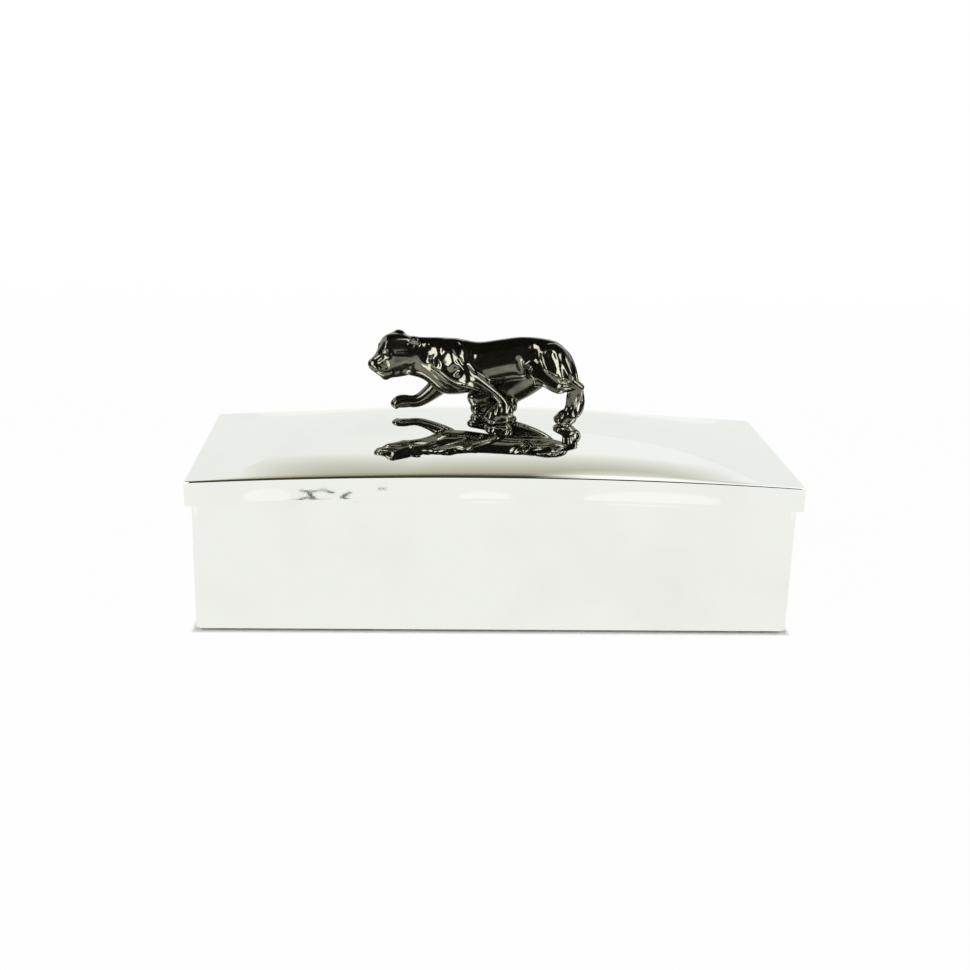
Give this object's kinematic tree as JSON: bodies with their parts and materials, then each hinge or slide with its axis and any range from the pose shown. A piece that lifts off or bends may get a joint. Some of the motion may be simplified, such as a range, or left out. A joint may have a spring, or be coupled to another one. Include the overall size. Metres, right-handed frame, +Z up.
{
  "type": "stamp box",
  "caption": "Long low metal stamp box with a lift-off cushioned lid, gripped by a cast prowling big cat, and lined with velvet.",
  "frame": {"origin": "middle of the underside, on the surface that the box stands on", "axes": "+X along the box's length (the cat faces -X), +Y from the front to the back, +Z up"},
  "size_m": [0.22, 0.094, 0.1031],
  "materials": {
    "silver_plate": "polished silver plate on sheet metal, faint hand-polishing waves",
    "black_nickel": "dark black-nickel plate on a cast figure, glossy",
    "screw_steel": "bright zinc-plated screw steel",
    "velvet": "short black velvet pile on board",
    "felt": "pressed black wool felt"
  },
  "bodies": {
    "box": {"wall_band": "silver_plate", "base_plate": "silver_plate", "base_felt": "felt", "lining_floor": "velvet", "lining_front": "velvet", "lining_back": "velvet", "lining_left": "velvet", "lining_right": "velvet"},
    "lid": {"lid_top": "silver_plate", "lid_skirt": "silver_plate", "cat_figure": "black_nickel", "cat_washers": "screw_steel", "cat_screws": "screw_steel"}
  },
  "joints": [
    {"name": "lid_lift", "type": "slide", "parent": "box", "child": "lid", "axis": [0, 0, 1], "range_m": [0, 0.06]}
  ]
}
